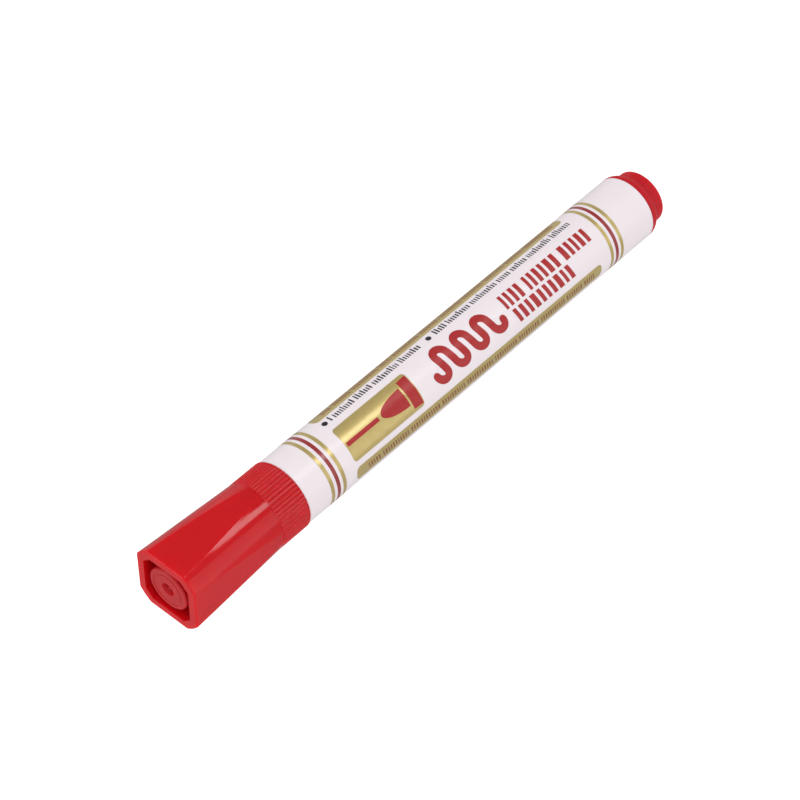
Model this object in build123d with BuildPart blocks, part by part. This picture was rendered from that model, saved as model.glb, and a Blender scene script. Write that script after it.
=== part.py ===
"""Whiteboard marker with a bullet nib and a square-sided push-on cap.

Units are millimetres. The marker's axis is +X, from the centre of the tail face towards the nib.
+Z is up when the marker lies on a flat of its cap.
"""
from build123d import *
import math
import os

os.makedirs("parts", exist_ok=True)

# ---- overall ----
overall_length = 138.5
barrel_radius = 7.35
shoulder_start = 5.0        # where the tail plug's rounded shoulder reaches the barrel's radius
barrel_start = 5.2          # end of the white tube, flush with the plug's shoulder
barrel_end = 108.0          # visible shoulder that the cap's mouth closes on
fit_gap = 0.05              # radial clearance of a sliding fit
seat_gap = 0.02             # radial clearance where one piece sits in another

# ---- barrel ----
bore_radius = 6.3
neck_radius = 6.45          # stepped-down neck inside the cap's mouth
neck_length = 8.0
neck_bore_radius = 5.5
neck_bore_length = 12.0
neck_chamfer = 0.4
snap_bead_height = 0.18
snap_bead_half = 0.6        # half its width along the axis
snap_bead_place = 3.6       # from the shoulder
barrel_edge = 0.15          # rounding of the tube's two outer edges
barrel_rib_count = 6        # inside, to centre the reservoir and leave air channels
barrel_rib_height = 0.25
barrel_rib_width = 0.8
barrel_rib_clear = 2.0      # the ribs stop this far from the plug and from the neck
rib_root = 0.1              # how far an inner rib runs into the wall it grows from

# ---- tail plug ----
stub_radius = 6.0
stub_edge = 0.5
shoulder_arc = 2.7          # radius of the rounded shoulder's profile
shoulder_corner = 0.8       # concave fillet where the shoulder meets the stub
plug_wall = 1.1
plug_depth = 7.5            # how far the skirt goes into the barrel
plug_bead_height = 0.12
plug_bead_half = 0.5
plug_bead_places = (2.5, 5.5)
plug_hollow_step = 0.6      # taper inside, where the stub widens into the skirt
cross_web = 0.9
cross_web_clear = 0.5       # the web stops this far inside the skirt's rim

# ---- reservoir ----
film_radius = 6.0
film_wall = 0.12
reservoir_start = barrel_start + plug_depth
reservoir_end = 103.5

# ---- nib and its holder ----
nib_radius = 2.5
nib_start = 97.0
nib_tip = 131.6
nib_bullet_length = 4.2
nib_bullet_hold = 0.55      # part of the bullet's length that stays nearly full width
nib_tip_fullness = 1.45     # how wide the bullet stays before it closes at the tip
nib_point_length = 2.0      # blunt point at the back, buried in the reservoir
nib_point_radius = 1.1
holder_plug_length = 10.0   # the part inside the barrel's neck
holder_lead = 0.4           # chamfer that leads it in
holder_lead_length = 0.6
holder_front = 126.0
land_radius = 4.0           # the land that the cap's inner cup seals on
land_start = 119.0
land_end = 123.8
snout_radius = 3.25
snout_edge = 0.3
flange_radius = 6.0
flange_length = 1.0
flange_shoulder = 0.5       # the cone to the land starts this far inside the flange's edge
holder_skirt_wall = 0.9
pocket_cone_start = 1.0     # the pocket behind the nib closes in this far before the neck's end
pocket_cone_end = 0.4
pocket_cone_gap = 0.6
vent_channel_radius = 0.4
vent_channel_count = 4
vent_channel_start = 0.5
vent_channel_clear = 2.0    # the channels stop this far short of the snout's tip

# ---- cap ----
mouth_gap = 0.05            # closing gap between the cap's lip and the barrel's shoulder
cap_start = barrel_end + mouth_gap
ring_end = 115.3            # end of the ribbed grip ring
ring_radius = 7.53
rib_count = 54              # low round-topped ribs along the axis
rib_radius = 0.6
rib_crest = 0.01            # the ring's radius trims this much off each rib's top
valley_radius = 7.1         # under the notches where neighbouring ribs meet
rib_run_out = 0.25          # plain collar between the ribs and the body
lip_rounding = 0.3
lip_chamfer = 0.12
body_flat = 7.39            # half the distance between opposite flats
body_radius_at_ring = 7.5   # the cone whose four corners stand past the flats
body_radius_at_end = 8.75
body_rounding = 0.3         # of the rim and of the edges between flats and conical corners
mouth_bore_radius = neck_radius + snap_bead_height + fit_gap
mouth_bore_end = 118.0
waist_bore_radius = 6.3
waist_taper = 0.4
web_start = 121.5           # ring web that the inner cup seats on
web_thickness = 1.2
recess_half = 5.7           # end recess, half the distance between its flats
recess_corner = 1.8         # its corner chamfers
recess_draft = 0.8          # degrees
vent_hole_count = 4
vent_hole_radius = 0.42
vent_hole_place = 5.85      # from the axis

# ---- inner cup of the cap ----
cup_end = overall_length - 0.3
cup_end_radius = 4.65
cup_seat_radius = 5.3
cup_mouth = 119.6
cup_flange_radius = 6.2
cup_flange_length = 1.0
cup_wall = 0.9
cup_lip = 0.55              # wall at the mouth, chamfered from the full wall
cup_lip_length = 0.3
cup_floor = 0.7             # under the dimple
cup_flare = 0.25            # lead-in of its bore
cup_flare_length = 0.4
cup_taper_start = 1.0       # past the land, the bore narrows towards its floor
cup_bore_end_radius = 3.65
cup_corner = 0.6            # chamfer between bore and floor
cup_notch_width = 1.8
cup_notch_root = 0.05       # flange left under each notch
boss_edge = 0.4
boss_groove_radius = 3.5
boss_groove_half = 0.35
boss_groove_depth = 0.16
dimple_radius = 1.5         # round dimple with a small post in it, where the cup was gated
dimple_floor_radius = 1.15
dimple_depth = 1.0
gate_radius = 0.4
gate_height = 0.55
gate_taper = 12             # degrees

axis_plane = Plane.YZ       # sections across the marker: local X is +Y, local Y is +Z


# ---- barrel: a moulded tube with a neck, open at both ends ----
with BuildPart() as barrel:
    with BuildSketch():
        with BuildLine():
            bead_at = barrel_end + snap_bead_place
            neck_end = barrel_end + neck_length
            bore_step = neck_end - neck_bore_length
            Polyline(
                (barrel_start, bore_radius),
                (barrel_start, barrel_radius),
                (barrel_end, barrel_radius),
                (barrel_end, neck_radius),
                (bead_at - snap_bead_half, neck_radius),
            )
            ThreePointArc(
                (bead_at - snap_bead_half, neck_radius),
                (bead_at, neck_radius + snap_bead_height),
                (bead_at + snap_bead_half, neck_radius),
            )
            Polyline(
                (bead_at + snap_bead_half, neck_radius),
                (neck_end - neck_chamfer, neck_radius),
                (neck_end, neck_radius - neck_chamfer),
                (neck_end, neck_bore_radius),
                (bore_step, neck_bore_radius),
                (bore_step, bore_radius),
                (barrel_start, bore_radius),
            )
        make_face()
    revolve(axis=Axis.X)
    with BuildSketch(axis_plane.offset(reservoir_start + barrel_rib_clear)):
        with PolarLocations(bore_radius - (barrel_rib_height - rib_root) / 2, barrel_rib_count):
            Rectangle(barrel_rib_height + rib_root, barrel_rib_width)
    extrude(amount=bore_step - reservoir_start - 2 * barrel_rib_clear)
    shoulder_edges = barrel.edges().filter_by(GeomType.CIRCLE).group_by(SortBy.RADIUS)[-1]
    fillet(shoulder_edges, barrel_edge)
barrel.part.label = "barrel"
export_step(barrel.part, "parts/barrel.step")


# ---- tail plug: rounded shoulder, short stub, hollow skirt with a cross web inside ----
with BuildPart() as end_plug:
    arc_centre_radius = barrel_radius - shoulder_arc
    shoulder_drop = stub_radius - arc_centre_radius
    shoulder_reach = math.sqrt(shoulder_arc ** 2 - shoulder_drop ** 2)
    mid_angle = 0.5 * math.acos(shoulder_drop / shoulder_arc)
    skirt_radius = bore_radius - plug_bead_height - seat_gap
    plug_end = barrel_start + plug_depth
    with BuildSketch():
        with BuildLine():
            Polyline(
                (0, 0),
                (0, stub_radius),
                (shoulder_start - shoulder_reach, stub_radius),
            )
            ThreePointArc(
                (shoulder_start - shoulder_reach, stub_radius),
                (
                    shoulder_start - shoulder_arc * math.sin(mid_angle),
                    arc_centre_radius + shoulder_arc * math.cos(mid_angle),
                ),
                (shoulder_start, barrel_radius),
            )
            Polyline(
                (shoulder_start, barrel_radius),
                (barrel_start, barrel_radius),
                (barrel_start, skirt_radius),
                (plug_end, skirt_radius),
                (plug_end, 0),
                (0, 0),
            )
        make_face()
    revolve(axis=Axis.X)
    end_edge, corner_edge = end_plug.edges().filter_by(GeomType.CIRCLE).sort_by(Axis.X)[0:2]
    fillet(end_edge, stub_edge)
    fillet(corner_edge, shoulder_corner)
    # two sealing beads round the skirt
    with BuildSketch():
        with Locations(*[(barrel_start + place, skirt_radius) for place in plug_bead_places]):
            Ellipse(plug_bead_half, plug_bead_height)
    revolve(axis=Axis.X)
    # hollow inside, then the cross web that the reservoir rests against
    with BuildSketch():
        with BuildLine():
            Polyline(
                (plug_wall, 0),
                (plug_wall, stub_radius - plug_wall),
                (barrel_start, stub_radius - plug_wall),
                (barrel_start + plug_hollow_step, skirt_radius - plug_wall),
                (plug_end, skirt_radius - plug_wall),
                (plug_end, 0),
                (plug_wall, 0),
            )
        make_face()
    revolve(axis=Axis.X, mode=Mode.SUBTRACT)
    with BuildSketch(axis_plane.offset(plug_wall)):
        web_width = 2 * (stub_radius - plug_wall + rib_root)
        Rectangle(web_width, cross_web)
        Rectangle(cross_web, web_width)
    extrude(amount=plug_end - plug_wall - cross_web_clear)
end_plug.part.label = "end_plug"
export_step(end_plug.part, "parts/end_plug.step")


# ---- nib: fibre rod with a bullet front and a blunt back point ----
with BuildPart() as nib:
    with BuildSketch():
        with BuildLine():
            bullet_start = nib_tip - nib_bullet_length
            Polyline(
                (nib_start, 0),
                (nib_start, nib_point_radius),
                (nib_start + nib_point_length, nib_radius),
                (bullet_start, nib_radius),
            )
            Bezier(
                (bullet_start, nib_radius),
                (bullet_start + nib_bullet_hold * nib_bullet_length, nib_radius),
                (nib_tip, nib_tip_fullness),
                (nib_tip, 0),
            )
            Line((nib_tip, 0), (nib_start, 0))
        make_face()
    revolve(axis=Axis.X)
nib.part.label = "nib"
export_step(nib.part, "parts/nib.step")


# ---- nib holder: plug in the barrel's neck, flange, sealing land and snout ----
with BuildPart() as nib_holder:
    with BuildSketch():
        with BuildLine():
            holder_back = neck_end - holder_plug_length
            plug_radius = neck_bore_radius - seat_gap
            Polyline(
                (holder_back, 0),
                (holder_back, plug_radius - holder_lead),
                (holder_back + holder_lead_length, plug_radius),
                (neck_end, plug_radius),
                (neck_end, flange_radius),
                (neck_end + flange_length, flange_radius),
                (neck_end + flange_length, flange_radius - flange_shoulder),
                (land_start, land_radius),
                (land_end, land_radius),
                (holder_front - snout_edge, snout_radius),
                (holder_front, snout_radius - snout_edge),
                (holder_front, 0),
                (holder_back, 0),
            )
        make_face()
    revolve(axis=Axis.X)
    with BuildSketch():
        with BuildLine():
            pocket_radius = plug_radius - holder_skirt_wall
            Polyline(
                (holder_back, 0),
                (holder_back, pocket_radius),
                (neck_end - pocket_cone_start, pocket_radius),
                (neck_end + pocket_cone_end, nib_radius + pocket_cone_gap),
                (neck_end + pocket_cone_end, nib_radius),
                (holder_front, nib_radius),
                (holder_front, 0),
                (holder_back, 0),
            )
        make_face()
    revolve(axis=Axis.X, mode=Mode.SUBTRACT)
    # air channels along the nib, closed before the snout's tip
    with BuildSketch(axis_plane.offset(neck_end - vent_channel_start)):
        with PolarLocations(nib_radius, vent_channel_count, start_angle=45):
            Circle(vent_channel_radius)
    channel_length = holder_front - vent_channel_clear - neck_end
    extrude(amount=channel_length, mode=Mode.SUBTRACT)
nib_holder.part.label = "nib_holder"
export_step(nib_holder.part, "parts/nib_holder.step")


# ---- ink reservoir: fibre core with the hole that the nib has pushed into it ----
with BuildPart() as ink_reservoir:
    with BuildSketch():
        with BuildLine():
            core_radius = film_radius - film_wall
            Polyline(
                (reservoir_start, 0),
                (reservoir_start, core_radius),
                (reservoir_end, core_radius),
                (reservoir_end, nib_radius),
                (nib_start + nib_point_length, nib_radius),
                (nib_start, nib_point_radius),
                (nib_start, 0),
                (reservoir_start, 0),
            )
        make_face()
    revolve(axis=Axis.X)
ink_reservoir.part.label = "ink_reservoir"
export_step(ink_reservoir.part, "parts/ink_reservoir.step")


# ---- reservoir film: thin sleeve welded round the fibre core ----
with BuildPart() as reservoir_film:
    with BuildSketch(axis_plane.offset(reservoir_start)):
        Circle(film_radius)
        Circle(core_radius, mode=Mode.SUBTRACT)
    extrude(amount=reservoir_end - reservoir_start)
reservoir_film.part.label = "reservoir_film"
export_step(reservoir_film.part, "parts/reservoir_film.step")


# ---- outer cap: ribbed ring that grows into a square body with conical corners ----
with BuildPart() as cap_shell:
    with BuildSketch():
        with BuildLine():
            Polyline(
                (ring_end, 0),
                (ring_end, body_radius_at_ring),
                (overall_length, body_radius_at_end),
                (overall_length, 0),
                (ring_end, 0),
            )
        make_face()
    revolve(axis=Axis.X)
    with BuildSketch(axis_plane.offset(ring_end)):
        Rectangle(2 * body_flat, 2 * body_flat)
    extrude(amount=overall_length - ring_end, mode=Mode.INTERSECT)
    rim_edges = cap_shell.faces().sort_by(Axis.X)[-1].outer_wire().edges()
    corner_edges = cap_shell.edges().filter_by(
        lambda e: e.bounding_box().size.X > (overall_length - ring_end) / 2
    )
    fillet(rim_edges + corner_edges, body_rounding)
    with BuildSketch():
        with BuildLine():
            Polyline(
                (cap_start, 0),
                (cap_start, ring_radius - lip_rounding),
            )
            RadiusArc(
                (cap_start, ring_radius - lip_rounding),
                (cap_start + lip_rounding, ring_radius),
                lip_rounding,
            )
            Polyline(
                (cap_start + lip_rounding, ring_radius),
                (ring_end, ring_radius),
                (ring_end, 0),
                (cap_start, 0),
            )
        make_face()
    revolve(axis=Axis.X)
    # the valleys between the ribs of the grip ring
    with BuildSketch(axis_plane.offset(cap_start)):
        Circle(ring_radius + rib_radius)
        Circle(valley_radius, mode=Mode.SUBTRACT)
        with PolarLocations(ring_radius + rib_crest - rib_radius, rib_count):
            Circle(rib_radius, mode=Mode.SUBTRACT)
    extrude(amount=ring_end - cap_start - rib_run_out, mode=Mode.SUBTRACT)
    # mouth bore, waist and the seat of the inner cup
    with BuildSketch():
        with BuildLine():
            seat_radius = cup_seat_radius + seat_gap
            Polyline(
                (cap_start, 0),
                (cap_start, mouth_bore_radius + lip_chamfer),
                (cap_start + lip_chamfer, mouth_bore_radius),
                (mouth_bore_end, mouth_bore_radius),
                (mouth_bore_end + waist_taper, waist_bore_radius),
                (web_start, waist_bore_radius),
                (web_start, seat_radius),
                (overall_length, seat_radius),
                (overall_length, 0),
                (cap_start, 0),
            )
        make_face()
    revolve(axis=Axis.X, mode=Mode.SUBTRACT)
    # end recess: an octagon that narrows a little towards the web
    with BuildSketch(axis_plane.offset(overall_length)) as recess_outline:
        Rectangle(2 * recess_half, 2 * recess_half)
        chamfer(recess_outline.vertices(), recess_corner)
    extrude(
        amount=-(overall_length - web_start - web_thickness),
        taper=recess_draft,
        mode=Mode.SUBTRACT,
    )
    # vent holes through the web, at the corners
    with BuildSketch(axis_plane.offset(web_start)):
        with PolarLocations(vent_hole_place, vent_hole_count, start_angle=45):
            Circle(vent_hole_radius)
    extrude(amount=web_thickness, mode=Mode.SUBTRACT)
cap_shell.part.label = "cap_shell"
export_step(cap_shell.part, "parts/cap_shell.step")


# ---- inner cup: closed sleeve that seals on the holder's land and shows as the end boss ----
with BuildPart() as cap_inner_cup:
    with BuildSketch():
        with BuildLine():
            flange_start = web_start - cup_flange_length
            cup_bore_radius = land_radius + fit_gap
            Polyline(
                (cup_mouth, 0),
                (cup_mouth, cup_bore_radius + cup_lip),
                (cup_mouth + cup_lip_length, cup_bore_radius + cup_wall),
                (flange_start, cup_bore_radius + cup_wall),
                (flange_start, cup_flange_radius),
                (web_start, cup_flange_radius),
                (web_start, cup_seat_radius),
                (web_start + web_thickness, cup_seat_radius),
                (cup_end, cup_end_radius),
                (cup_end, 0),
                (cup_mouth, 0),
            )
        make_face()
    revolve(axis=Axis.X)
    end_edge = cap_inner_cup.edges().filter_by(GeomType.CIRCLE).sort_by(Axis.X)[-1]
    fillet(end_edge, boss_edge)
    with BuildSketch():
        with BuildLine():
            floor_at = cup_end - dimple_depth - cup_floor
            Polyline(
                (cup_mouth, 0),
                (cup_mouth, cup_bore_radius + cup_flare),
                (cup_mouth + cup_flare_length, cup_bore_radius),
                (land_end + cup_taper_start, cup_bore_radius),
                (floor_at - cup_corner, cup_bore_end_radius),
                (floor_at, cup_bore_end_radius - cup_corner),
                (floor_at, 0),
                (cup_mouth, 0),
            )
        make_face()
    revolve(axis=Axis.X, mode=Mode.SUBTRACT)
    # moulded ring groove, dimple and gate post on the visible end
    with BuildSketch():
        with Locations((cup_end, boss_groove_radius)):
            Ellipse(boss_groove_depth, boss_groove_half)
    revolve(axis=Axis.X, mode=Mode.SUBTRACT)
    with BuildSketch():
        with BuildLine():
            Polyline(
                (cup_end, 0),
                (cup_end - dimple_depth, 0),
                (cup_end - dimple_depth, dimple_floor_radius),
                (cup_end, dimple_radius),
                (cup_end, 0),
            )
        make_face()
    revolve(axis=Axis.X, mode=Mode.SUBTRACT)
    with BuildSketch(axis_plane.offset(cup_end - dimple_depth - rib_root)):
        Circle(gate_radius)
    extrude(amount=gate_height + rib_root, taper=gate_taper)
    # notches in the flange line up with the web's vent holes
    with BuildSketch(axis_plane.offset(flange_start)):
        with PolarLocations(cup_flange_radius, vent_hole_count, start_angle=45):
            Rectangle(2 * (cup_flange_radius - cup_seat_radius - cup_notch_root), cup_notch_width)
    extrude(amount=cup_flange_length, mode=Mode.SUBTRACT)
cap_inner_cup.part.label = "cap_inner_cup"
export_step(cap_inner_cup.part, "parts/cap_inner_cup.step")
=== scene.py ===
"""Looks of a capped whiteboard marker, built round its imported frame.

Metres, +X from the tail to the nib, +Z up. Printed matter is placed in millimetres along the
barrel and in degrees round it, measured from the top towards +Y.
"""
import bmesh
import bpy
import math
import random
from mathutils import Matrix, Vector


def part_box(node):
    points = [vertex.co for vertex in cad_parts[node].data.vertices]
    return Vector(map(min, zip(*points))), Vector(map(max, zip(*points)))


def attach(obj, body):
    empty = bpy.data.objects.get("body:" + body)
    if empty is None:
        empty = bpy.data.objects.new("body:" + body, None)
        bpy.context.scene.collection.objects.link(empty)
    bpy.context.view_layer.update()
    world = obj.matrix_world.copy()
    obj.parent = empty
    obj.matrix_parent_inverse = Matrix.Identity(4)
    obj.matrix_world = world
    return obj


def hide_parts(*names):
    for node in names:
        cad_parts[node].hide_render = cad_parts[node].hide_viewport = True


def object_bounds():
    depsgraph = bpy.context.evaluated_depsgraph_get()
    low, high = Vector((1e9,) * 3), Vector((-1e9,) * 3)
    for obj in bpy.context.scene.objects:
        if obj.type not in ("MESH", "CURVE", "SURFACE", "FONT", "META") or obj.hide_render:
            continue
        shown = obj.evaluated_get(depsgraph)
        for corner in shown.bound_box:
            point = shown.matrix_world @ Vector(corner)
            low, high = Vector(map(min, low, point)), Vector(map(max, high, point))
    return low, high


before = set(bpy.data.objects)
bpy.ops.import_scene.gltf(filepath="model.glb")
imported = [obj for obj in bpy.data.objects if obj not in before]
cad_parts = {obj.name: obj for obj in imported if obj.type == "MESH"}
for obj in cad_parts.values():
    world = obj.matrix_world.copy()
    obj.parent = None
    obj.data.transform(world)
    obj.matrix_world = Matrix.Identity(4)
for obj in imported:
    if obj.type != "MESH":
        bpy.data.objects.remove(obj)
cad_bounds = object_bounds()

MM = 0.001
scene = bpy.context.scene
BARREL_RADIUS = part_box("barrel")[1].z
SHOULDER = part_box("end_plug")[0].x + 5.02 * MM      # zero of the printed matter's lengthwise places
RING_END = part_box("cap_shell")[0].x + 7.2 * MM      # where the cap's ribs end
INK_HEIGHT = 0.03 * MM                              # how far a printed film stands off the barrel
INK_ROOT = -0.02 * MM                               # its underside, just inside the barrel's skin
OVERPRINT = 0.022 * MM                              # extra height of ink printed on foil


# ---------------------------------------------------------------- camera
def make_camera():
    """A long lens looking down on the cap end of the marker."""
    place = Vector((0.34414, 0.23835, 0.39573))
    sight = Vector((-0.5029, -0.44505, -0.74094))
    roll = math.radians(0.114)
    data = bpy.data.cameras.new("camera")
    data.lens = 124.9
    data.sensor_width = 36.0
    data.clip_start = 0.01
    data.clip_end = 20.0
    camera = bpy.data.objects.new("camera", data)
    turn = sight.to_track_quat("-Z", "Y").to_matrix().to_4x4()
    camera.matrix_world = Matrix.Translation(place) @ turn @ Matrix.Rotation(roll, 4, "Z")
    scene.collection.objects.link(camera)
    scene.camera = camera


# ---------------------------------------------------------------- materials
class Shader:
    """A Principled material with a few helpers for the nodes that feed it."""

    def __init__(self, name):
        self.material = bpy.data.materials.new(name)
        self.material.use_nodes = True
        self.nodes = self.material.node_tree.nodes
        self.links = self.material.node_tree.links
        self.shader = self.nodes["Principled BSDF"]

    def set(self, **values):
        """Uniform values, named as the sockets are, with _ for each space."""
        for name, value in values.items():
            self.shader.inputs[name.replace("_", " ")].default_value = value

    def place(self, stretch=(1, 1, 1)):
        """Place on the object, in metres times stretch."""
        coords = self.nodes.new("ShaderNodeTexCoord")
        mapping = self.nodes.new("ShaderNodeMapping")
        mapping.inputs["Scale"].default_value = stretch
        self.links.new(coords.outputs["Object"], mapping.inputs["Vector"])
        return mapping.outputs["Vector"]

    def noise(self, scale, detail=3.0, roughness=0.5, stretch=(1, 1, 1)):
        """Noise with scale features to a metre."""
        node = self.nodes.new("ShaderNodeTexNoise")
        node.inputs["Scale"].default_value = scale
        node.inputs["Detail"].default_value = detail
        node.inputs["Roughness"].default_value = roughness
        self.links.new(self.place(stretch), node.inputs["Vector"])
        return node.outputs["Fac"]

    def band(self, source, low, high, at=(0.3, 0.7)):
        """Maps a source to low at the first of at and to high at the second."""
        node = self.nodes.new("ShaderNodeMapRange")
        node.inputs["From Min"].default_value = at[0]
        node.inputs["From Max"].default_value = at[1]
        node.inputs["To Min"].default_value = low
        node.inputs["To Max"].default_value = high
        self.links.new(source, node.inputs["Value"])
        return node.outputs["Result"]

    def blend(self, factor, first, second):
        """Mixes two colours by a factor and returns the colour."""
        node = self.nodes.new("ShaderNodeMix")
        node.data_type = "RGBA"
        self.links.new(factor, node.inputs["Factor"])
        for socket, colour in (("A", first), ("B", second)):
            target = [s for s in node.inputs if s.name == socket and s.type == "RGBA"][0]
            target.default_value = (*colour, 1.0)
        return [s for s in node.outputs if s.type == "RGBA"][0]

    def total(self, first, second):
        node = self.nodes.new("ShaderNodeMath")
        self.links.new(first, node.inputs[0])
        self.links.new(second, node.inputs[1])
        return node.outputs["Value"]

    def along(self):
        """Place along the marker, in metres."""
        parts = self.nodes.new("ShaderNodeSeparateXYZ")
        self.links.new(self.place(), parts.inputs["Vector"])
        return parts.outputs["X"]

    def feed(self, socket, source):
        self.links.new(source, self.shader.inputs[socket])

    def bump(self, *layers):
        """Bump from (height, strength, distance in metres) layers, first layer finest."""
        normal = None
        for height, strength, distance in layers:
            node = self.nodes.new("ShaderNodeBump")
            node.inputs["Strength"].default_value = strength
            node.inputs["Distance"].default_value = distance
            self.links.new(height, node.inputs["Height"])
            if normal is not None:
                self.links.new(normal, node.inputs["Normal"])
            normal = node.outputs["Normal"]
        self.feed("Normal", normal)


def moulded_plastic(name, base, deep, gloss, scatter, spread=(1.0, 0.9, 0.9), shine=0.5, matt=None):
    """Injection-moulded plastic: flow streaks in the colour, fine orange peel, uneven gloss.

    gloss is the range of roughness, scatter how much of the light goes under the skin, spread
    how far in millimetres, and shine the strength of the reflection. matt is a place along the
    marker and the extra roughness of all that lies before it.
    """
    m = Shader(name)
    streaks = m.noise(scale=90, detail=4, roughness=0.6, stretch=(0.25, 1, 1))
    m.feed("Base Color", m.blend(m.band(streaks, 0, 1), base, deep))
    unevenness = m.noise(scale=260, detail=5, roughness=0.65)
    roughness = m.band(unevenness, *gloss)
    if matt:
        place, extra = matt
        fade = 0.1 * MM
        roughness = m.total(roughness, m.band(m.along(), extra, 0, (place, place + fade)))
    m.feed("Roughness", roughness)
    m.set(IOR=1.5, Subsurface_Weight=scatter, Subsurface_Radius=spread, Subsurface_Scale=MM)
    m.set(Specular_IOR_Level=shine)
    grain = m.noise(scale=2600, detail=2)
    peel = m.noise(scale=420, detail=2)
    m.bump((grain, 0.05, 0.02 * MM), (peel, 0.06, 0.03 * MM))
    return m.material


def gold_foil(name, base, deep, gloss):
    """Hot-stamped foil under varnish, with a fine grain and slightly uneven tone."""
    m = Shader(name)
    tone = m.noise(scale=700, detail=4, roughness=0.6)
    m.feed("Base Color", m.blend(m.band(tone, 0, 1), base, deep))
    m.feed("Roughness", m.band(m.noise(scale=3000, detail=3, roughness=0.6), *gloss))
    m.set(Metallic=0.6, Coat_Weight=1.0, Coat_Roughness=0.2)
    m.bump((m.noise(scale=6000, detail=2), 0.12, 0.01 * MM))
    return m.material


def printing_ink(name, base, worn, gloss=(0.285, 0.37), varnish=0.0):
    """Screen-printed ink, slightly mottled; varnish is the weight of a clear coat over it."""
    m = Shader(name)
    mottle = m.noise(scale=1500, detail=4, roughness=0.7)
    m.feed("Base Color", m.blend(m.band(mottle, 0, 1, (0.35, 0.75)), base, worn))
    m.feed("Roughness", m.band(m.noise(scale=2200, detail=3, roughness=0.6), *gloss))
    m.set(Coat_Weight=varnish, Coat_Roughness=0.2)
    m.bump((m.noise(scale=5200, detail=2), 0.1, 0.01 * MM))
    return m.material


def soaked_fibre(name, wet, dry):
    """Bonded fibres that run along the marker, soaked in ink."""
    m = Shader(name)
    strands = m.noise(scale=2600, detail=6, roughness=0.7, stretch=(0.06, 1, 1))
    m.feed("Base Color", m.blend(m.band(strands, 0, 1), wet, dry))
    m.feed("Roughness", m.band(strands, 0.55, 0.85))
    m.set(Sheen_Weight=0.25, Sheen_Roughness=0.5)
    m.bump((strands, 0.6, 0.08 * MM))
    return m.material


def clear_film(name):
    """Thin crinkled sleeve of clear film."""
    m = Shader(name)
    m.feed("Roughness", m.band(m.noise(scale=500), 0.08, 0.2))
    m.set(Base_Color=(0.9, 0.9, 0.9, 1.0), Alpha=0.35, Transmission_Weight=0.6)
    m.bump((m.noise(scale=300, roughness=0.6), 0.4, 0.1 * MM))
    return m.material


WHITE_PLASTIC = moulded_plastic(
    "white_plastic", (0.808, 0.736, 0.768), (0.796, 0.727, 0.757), gloss=(0.285, 0.34), scatter=0.12
)
HOLDER_PLASTIC = moulded_plastic(
    "holder_plastic", (0.8, 0.79, 0.77), (0.76, 0.745, 0.72), gloss=(0.3, 0.4), scatter=0.15
)
RED_SPREAD = (4.0, 0.3, 0.3)        # in red plastic, only red light goes far under the skin
RED_PLASTIC = moulded_plastic(
    "red_plastic", (0.57, 0.006, 0.011), (0.54, 0.005, 0.009), gloss=(0.09, 0.15),
    scatter=0.6, spread=RED_SPREAD, matt=(RING_END, 0.2),
)
RED_SATIN = moulded_plastic(
    "red_satin_plastic", (0.5, 0.012, 0.018), (0.46, 0.009, 0.014), gloss=(0.285, 0.36),
    scatter=0.5, spread=RED_SPREAD,
)
RED_PLUG = moulded_plastic(
    "red_plug_plastic", (0.5, 0.009, 0.016), (0.46, 0.007, 0.013), gloss=(0.4, 0.5),
    scatter=0.5, spread=RED_SPREAD, shine=0.25,
)
GOLD = gold_foil("gold_foil", (0.7, 0.54, 0.2), (0.64, 0.49, 0.17), gloss=(0.28, 0.38))
RED_INK = printing_ink("red_ink", (0.355, 0.015, 0.017), (0.41, 0.024, 0.026))
BAND_INK = printing_ink("dark_red_ink", (0.27, 0.016, 0.017), (0.33, 0.027, 0.029), varnish=1.0)
BLACK_INK = printing_ink("black_ink", (0.012, 0.012, 0.02), (0.03, 0.03, 0.04))
BROWN_INK = printing_ink("brown_ink", (0.23, 0.085, 0.03), (0.3, 0.125, 0.045))
NIB_FIBRE = soaked_fibre("nib_fibre", (0.4, 0.006, 0.012), (0.55, 0.03, 0.04))
CORE_FIBRE = soaked_fibre("reservoir_fibre", (0.45, 0.01, 0.02), (0.65, 0.1, 0.12))
FILM = clear_film("clear_film")

NODE_MATERIALS = {
    "barrel": WHITE_PLASTIC,
    "nib_holder": HOLDER_PLASTIC,
    "end_plug": RED_PLUG,
    "cap_shell": RED_PLASTIC,
    "cap_inner_cup": RED_SATIN,
    "nib": NIB_FIBRE,
    "ink_reservoir": CORE_FIBRE,
    "reservoir_film": FILM,
}


def dress_cad_nodes():
    for node, material in NODE_MATERIALS.items():
        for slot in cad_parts[node].material_slots:
            slot.material = material


# ---------------------------------------------------------------- outlines
def arc_mm(degrees):
    """Length round the barrel, in millimetres, of an angle from the top."""
    return math.radians(degrees) * BARREL_RADIUS / MM


def centred(place, width):
    return place - width / 2, place + width / 2


def points_round(centre, radius, angles):
    return [(centre[0] + radius * math.cos(a), centre[1] + radius * math.sin(a)) for a in angles]


def rectangle(low, high):
    """Outline of a rectangle between two (along, around) points."""
    (x0, y0), (x1, y1) = low, high
    return [(x0, y0), (x1, y0), (x1, y1), (x0, y1)]


def rounded_box(low, high, corner, steps=6):
    """Outline of a rectangle with round corners between two (along, around) points."""
    (x0, y0), (x1, y1) = low, high
    outline = []
    corners = [(x1, y1, 0), (x0, y1, 90), (x0, y0, 180), (x1, y0, 270)]
    for x, y, start in corners:
        centre = (
            x - corner if x == x1 else x + corner,
            y - corner if y == y1 else y + corner,
        )
        turns = [math.radians(start + 90 * k / steps) for k in range(steps + 1)]
        outline += points_round(centre, corner, turns)
    return outline


def disc(centre, radius, steps=28):
    return points_round(centre, radius, [2 * math.pi * k / steps for k in range(steps)])


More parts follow.
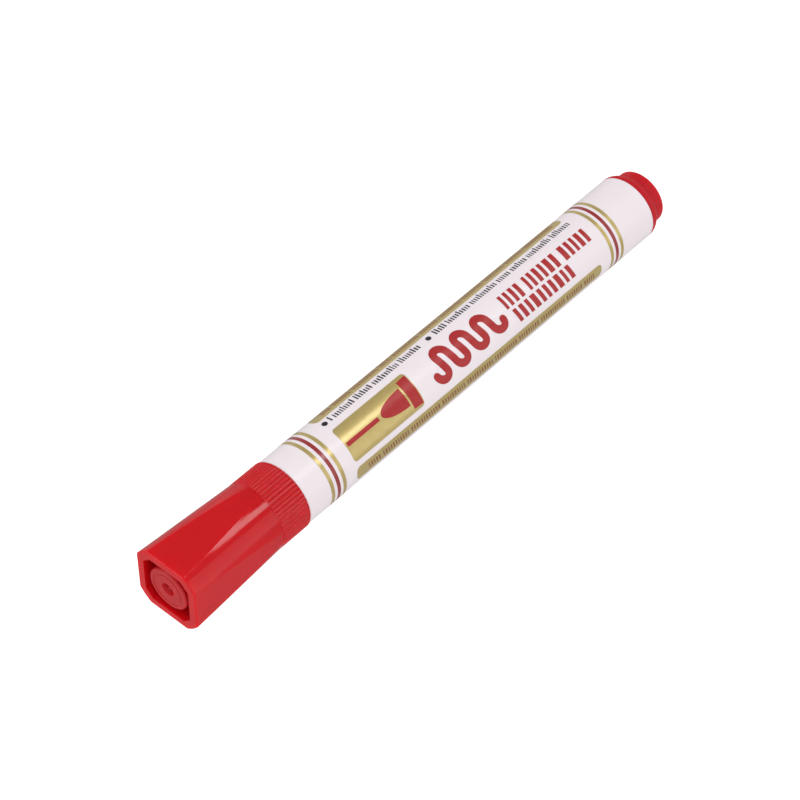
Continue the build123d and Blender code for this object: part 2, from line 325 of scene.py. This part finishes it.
def stroke(path, half_width, steps=8):
    """Outline of a round-ended stroke that follows a list of (along, around) points."""
    left, right = [], []
    for k, point in enumerate(path):
        before = path[max(k - 1, 0)]
        after = path[min(k + 1, len(path) - 1)]
        way = Vector((after[0] - before[0], after[1] - before[1])).normalized()
        side = Vector((-way.y, way.x)) * half_width
        left.append((point[0] + side.x, point[1] + side.y))
        right.append((point[0] - side.x, point[1] - side.y))

    def end(centre, start):
        first = math.atan2(start[1] - centre[1], start[0] - centre[0])
        turns = [first - math.pi * k / steps for k in range(1, steps)]
        return points_round(centre, half_width, turns)

    return left + end(path[-1], left[-1]) + right[::-1] + end(path[0], right[0])


GROUP = (5, 12)         # fewest and most bars in a group of a row
TALL_SHARE = 0.28       # part of the bars that stand taller


def row(rng, start, stop, low, high, pens, gap, space, tall=0.0, slant=0.0):
    """A row of plain upright bars in groups, in the place of a line of wording.

    pens is the range of the bars' widths, gap the room between bars and space the extra room
    between groups. Some bars stand taller by tall, and all lean by slant to a unit of height.
    """
    shapes, x = [], start
    middle = (low + high) / 2
    while x < stop - pens[1]:
        for _ in range(rng.randint(*GROUP)):
            width = rng.uniform(*pens)
            top = low - (tall if rng.random() < TALL_SHARE else 0.0)
            if x + width > stop:
                return shapes
            bar = rectangle((x, top), (x + width, high))
            shapes.append([(px + slant * (middle - py), py) for px, py in bar])
            x += width + gap
        x += space
    return shapes


# ---------------------------------------------------------------- printed matter
def on_barrel(along, around, height):
    """Point on the barrel: along and around in millimetres, height in metres off its skin."""
    angle = around * MM / BARREL_RADIUS
    radius = BARREL_RADIUS + height
    return Vector((SHOULDER + along * MM, radius * math.sin(angle), radius * math.cos(angle)))


def finished(name, bm, material, round_skin=False):
    """Turns a bmesh into a piece of the barrel's body; round_skin gives it the barrel's normals."""
    mesh = bpy.data.meshes.new(name)
    bm.to_mesh(mesh)
    bm.free()
    mesh.materials.append(material)
    mesh.shade_smooth()
    if round_skin:
        facing_out = 0.9        # least share of a skin face's normal that points off the axis
        normals = []
        for polygon in mesh.polygons:
            outward = Vector((0, polygon.center.y, polygon.center.z)).normalized()
            skin = polygon.normal.dot(outward) > facing_out
            for v in polygon.vertices:
                co = mesh.vertices[v].co
                radial = Vector((0, co.y, co.z)).normalized()
                normals.append(radial if skin else polygon.normal.copy())
        mesh.normals_split_custom_set(normals)
    piece = bpy.data.objects.new(name, mesh)
    scene.collection.objects.link(piece)
    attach(piece, "barrel_body")
    return piece


def print_film(name, outlines, material, raised=0.0):
    """A thin film in the shape of the outlines, bent round the barrel; each is a closed solid."""
    bm = bmesh.new()
    for outline in outlines:
        bm.faces.new([bm.verts.new((x, y, 0)) for x, y in outline])
    bm.normal_update()
    bmesh.ops.triangulate(bm, faces=bm.faces[:])
    pitch = arc_mm(3)           # the film is cut this often round the barrel, so that it bends
    lowest = min(v.co.y for v in bm.verts)
    highest = max(v.co.y for v in bm.verts)
    for k in range(math.ceil(lowest / pitch), math.floor(highest / pitch) + 1):
        parts = bm.verts[:] + bm.edges[:] + bm.faces[:]
        bmesh.ops.bisect_plane(bm, geom=parts, plane_co=(0, k * pitch, 0), plane_no=(0, 1, 0))
    base = bmesh.ops.extrude_face_region(bm, geom=bm.faces[:])["geom"]
    under = {v for v in base if isinstance(v, bmesh.types.BMVert)}
    for v in bm.verts:
        height = INK_ROOT if v in under else INK_HEIGHT + raised
        v.co = on_barrel(v.co.x, v.co.y, height)
    bmesh.ops.recalc_face_normals(bm, faces=bm.faces[:])
    finished(name, bm, material, round_skin=True)


def band_film(name, bands, material, turns=144):
    """Closed rings round the barrel, each between two places along it."""
    bm = bmesh.new()
    for low, high in bands:
        section = [(low, INK_ROOT), (low, INK_HEIGHT), (high, INK_HEIGHT), (high, INK_ROOT)]
        rings = []
        for k in range(turns):
            around = arc_mm(360 * k / turns)
            rings.append([bm.verts.new(on_barrel(x, around, h)) for x, h in section])
        for k in range(turns):
            here, there = rings[k], rings[(k + 1) % turns]
            for i in range(len(section)):
                j = (i + 1) % len(section)
                bm.faces.new((here[i], here[j], there[j], there[i]))
    bmesh.ops.recalc_face_normals(bm, faces=bm.faces[:])
    finished(name, bm, material, round_skin=True)


def print_bands():
    """A gold, red, gold set of rings near each end of the barrel."""
    pitch, gold_width, red_width = 1.6, 0.82, 0.84
    gold, red = [], []
    for middle in (95.1, 11.9):
        gold += [centred(middle + side * pitch, gold_width) for side in (-1, 1)]
        red.append(centred(middle, red_width))
    band_film("gold_bands", gold, GOLD)
    band_film("red_bands", red, BAND_INK)


def print_panel():
    """Gold panel with the picture of a bullet nib in its holder and the line that it draws."""
    panel = rounded_box((70.1, arc_mm(5)), (90.0, arc_mm(66)), corner=0.75)
    print_film("gold_panel", [panel], GOLD)

    middle = arc_mm(36.4)
    nib_start, nib_length, nib_half = 73.3, 6.7, 2.05
    steps = 20
    nib = []
    for k in range(steps + 1):
        a = math.pi * k / steps
        nib.append((nib_start + nib_length * math.sin(a), middle + nib_half * math.cos(a)))
    line_start, line_end, line_half = 80.8, 89.6, 0.45
    line = rectangle((line_start, middle - line_half), (line_end, middle + line_half))
    back, back_half = 70.3, 3.3
    front, front_half = 72.8, 3.15
    holder = [
        (back, middle - back_half),
        (front, middle - front_half),
        (front, middle + front_half),
        (back, middle + back_half),
    ]
    print_film("nib_picture", [line, nib, holder], RED_INK, OVERPRINT)


def print_bars():
    """Two long gold bars, each with a row of small brown marks along its middle."""
    rng = random.Random(11)
    half = 13               # degrees
    bars, marks = [], []
    for middle in (-37, 90):
        low, high = arc_mm(middle - half), arc_mm(middle + half)
        bars.append(rounded_box((17.1, low), (90.1, high), corner=1.1))
        marks += row(
            rng, start=19.5, stop=87.5, low=arc_mm(middle - 6), high=arc_mm(middle + 5.5),
            pens=(0.24, 0.42), gap=0.36, space=0.5, slant=0.25,
        )
    print_film("gold_bars", bars, GOLD)
    print_film("brown_marks", marks, BROWN_INK, OVERPRINT)


def print_rows():
    """Small black marks behind two dots, and two heavy red rows."""
    rng = random.Random(5)
    middle = arc_mm(-12.5)
    half, dot_radius, dot_room = 0.57, 0.62, 1.2
    small = []
    for dot, start in ((89.3, 62.6), (59.8, 17.3)):
        small.append(disc((dot, middle), dot_radius))
        small += row(
            rng, start=start, stop=dot - dot_room, low=middle - half, high=middle + half,
            pens=(0.24, 0.36), gap=0.34, space=0.45, tall=0.45,
        )
    print_film("black_marks", small, BLACK_INK)
    heavy = row(
        rng, start=16.8, stop=43.0, low=arc_mm(9.5), high=arc_mm(34.8),
        pens=(0.7, 1.3), gap=0.7, space=0.9,
    )
    heavy += row(
        rng, start=24.8, stop=43.3, low=arc_mm(39.8), high=arc_mm(63.8),
        pens=(0.75, 1.4), gap=0.72, space=0.0, slant=0.22,
    )
    print_film("red_marks", heavy, RED_INK)


def print_scribble():
    """A bold serpentine marker stroke in the place of a name."""
    start, middle = 65.2, arc_mm(33.5)
    bends, bend_radius, steps = 7, 1.43, 16
    reach, loss = 1.5, 0.09         # of the first bend from the middle, and what each next one loses
    lean, half_width = 0.22, 0.84
    path = []
    for k in range(bends):
        centre = start - bend_radius * (2 * k + 1)
        side = -1 if k % 2 else 1
        for step in range(steps + 1):
            a = math.pi * step / steps
            x = centre + bend_radius * math.cos(a)
            y = side * (reach - loss * k + bend_radius * math.sin(a))
            path.append((x - lean * y, middle + y))
    print_film("red_scribble", [stroke(path, half_width)], RED_INK)


# ---------------------------------------------------------------- nib
def make_nib():
    """The bullet nib as a bundle of fibres: a lathed form with fine grooves along it."""
    low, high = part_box("nib")
    radius = high.z
    point_radius, point_length = 1.1 * MM, 2.0 * MM     # blunt point at the back
    bullet = 4.2 * MM
    bullet_start = high.x - bullet
    fullness = 0.9                                      # under 1 keeps the bullet wide for longer
    groove_depth = 0.035 * MM
    steps, turns = 26, 180
    profile = [
        (low.x, 0.0),
        (low.x, point_radius),
        (low.x + point_length, radius),
        (bullet_start, radius),
    ]
    for k in range(1, steps + 1):
        a = k / steps * math.pi / 2
        profile.append((bullet_start + bullet * math.sin(a), radius * math.cos(a) ** fullness))
    rng = random.Random(3)
    depths = [groove_depth * rng.uniform(0.0, 1.0) for _ in range(turns)]
    bm = bmesh.new()
    rings = []
    for x, r in profile:
        if r < 0.001 * MM:
            rings.append([bm.verts.new((x, 0, 0))])
            continue
        ring = []
        for k, depth in enumerate(depths):
            a = 2 * math.pi * k / turns
            grooved = r - depth * min(1.0, r / radius)
            ring.append(bm.verts.new((x, grooved * math.sin(a), grooved * math.cos(a))))
        rings.append(ring)
    for first, second in zip(rings, rings[1:]):
        for k in range(turns):
            j = (k + 1) % turns
            if len(first) == 1:
                bm.faces.new((first[0], second[k], second[j]))
            elif len(second) == 1:
                bm.faces.new((first[k], second[0], first[j]))
            else:
                bm.faces.new((first[k], second[k], second[j], first[j]))
    bmesh.ops.recalc_face_normals(bm, faces=bm.faces[:])
    piece = finished("fibre_nib", bm, NIB_FIBRE)
    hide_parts("nib")


# ---------------------------------------------------------------- studio
WORLD = ((0.45, 0.33), (0.55, 0.55), (0.85, 0.2))     # place on the ramp from below to above, level
FLOOR_GLOW = 1.0
LIGHTS = {      # place in metres, size along and across, radiance, seen in the gloss
    "strip": ((-0.33, 0.42, 0.95), (0.48, 0.26), 3.7, True),
    "side": ((-0.6, 1.2, 0.5), (1.6, 0.9), 0.4, True),
    "rim": ((0.95, -0.5, 0.6), (0.5, 0.5), 2.5, True),
    "overhead": ((0.25, 0.1, 1.5), (1.8, 1.8), 2.05, False),
    "front": ((1.2, 0.9, 0.7), (1.0, 0.8), 0.4, False),
    "back": ((0.3, -1.4, 0.7), (1.2, 0.8), 0.3, False),
}


def glowing(name, grey, **values):
    """Plain white studio surface that gives off its own light; grey is what it sends back."""
    m = Shader(name)
    m.set(Base_Color=(grey, grey, grey, 1.0), **values)
    m.set(Emission_Color=(1.0, 1.0, 1.0, 1.0), Emission_Strength=FLOOR_GLOW)
    return m.material


def make_floor():
    """White floor that glows by itself, so that hardly any shadow of the marker falls on it.

    The gloss doesn't see it, because its reflection would wash out the red.
    """
    level, reach = cad_bounds[0].z, 3.0
    corners = [(reach * x, reach * y, level) for x, y in ((-1, -1), (1, -1), (1, 1), (-1, 1))]
    mesh = bpy.data.meshes.new("floor")
    mesh.from_pydata(corners, [], [(0, 1, 2, 3)])
    mesh.materials.append(glowing("pale_floor", 0.3, Roughness=0.9, Specular_IOR_Level=0.1))
    floor = bpy.data.objects.new("floor", mesh)
    floor.visible_glossy = False
    scene.collection.objects.link(floor)


def make_backdrop():
    """White dome round the floor, there for the camera alone, so that no view shows a horizon."""
    bm = bmesh.new()
    bmesh.ops.create_uvsphere(bm, u_segments=48, v_segments=24, radius=2.9)
    mesh = bpy.data.meshes.new("backdrop")
    bm.to_mesh(mesh)
    bm.free()
    mesh.materials.append(glowing("white_backdrop", 0.0, Specular_IOR_Level=0.0))
    dome = bpy.data.objects.new("backdrop", mesh)
    for rays in ("diffuse", "glossy", "transmission", "volume_scatter", "shadow"):
        setattr(dome, "visible_" + rays, False)
    scene.collection.objects.link(dome)


def area_light(name, aim, place, size, radiance, in_gloss):
    """A softbox at a place, turned to aim; its first size runs along the marker."""
    data = bpy.data.lights.new(name, "AREA")
    data.shape = "RECTANGLE"
    data.size, data.size_y = size
    data.energy = radiance * math.pi * size[0] * size[1]
    light = bpy.data.objects.new(name, data)
    back = (Vector(place) - Vector(aim)).normalized()
    side = (Vector((1, 0, 0)) - back * back.x).normalized()
    turn = Matrix((side, back.cross(side), back)).transposed().to_4x4()
    light.matrix_world = Matrix.Translation(place) @ turn
    light.visible_glossy = in_gloss
    scene.collection.objects.link(light)


def make_world():
    """Soft surroundings, graded by height: below, level with and above the marker."""
    world = bpy.data.worlds.new("studio")
    world.use_nodes = True
    nodes, links = world.node_tree.nodes, world.node_tree.links
    coords = nodes.new("ShaderNodeTexCoord")
    parts = nodes.new("ShaderNodeSeparateXYZ")
    height = nodes.new("ShaderNodeMapRange")
    height.inputs["From Min"].default_value = -1.0
    grades = nodes.new("ShaderNodeValToRGB")
    ramp = grades.color_ramp
    ramp.elements.new(0.5)
    for stop, (position, level) in zip(ramp.elements, WORLD):
        stop.position = position
        stop.color = (level, level, level, 1.0)
    links.new(coords.outputs["Generated"], parts.inputs["Vector"])
    links.new(parts.outputs["Z"], height.inputs["Value"])
    links.new(height.outputs["Result"], grades.inputs["Fac"])
    links.new(grades.outputs["Color"], nodes["Background"].inputs["Color"])
    scene.world = world


def make_lights():
    middle = Vector(((cad_bounds[0].x + cad_bounds[1].x) / 2, 0, 0))
    for name, (place, size, radiance, in_gloss) in LIGHTS.items():
        area_light(name, middle, place, size, radiance, in_gloss)


scene.view_settings.view_transform = "Standard"
make_camera()
dress_cad_nodes()
print_bands()
print_panel()
print_bars()
print_rows()
print_scribble()
make_nib()
make_floor()
make_backdrop()
make_world()
make_lights()
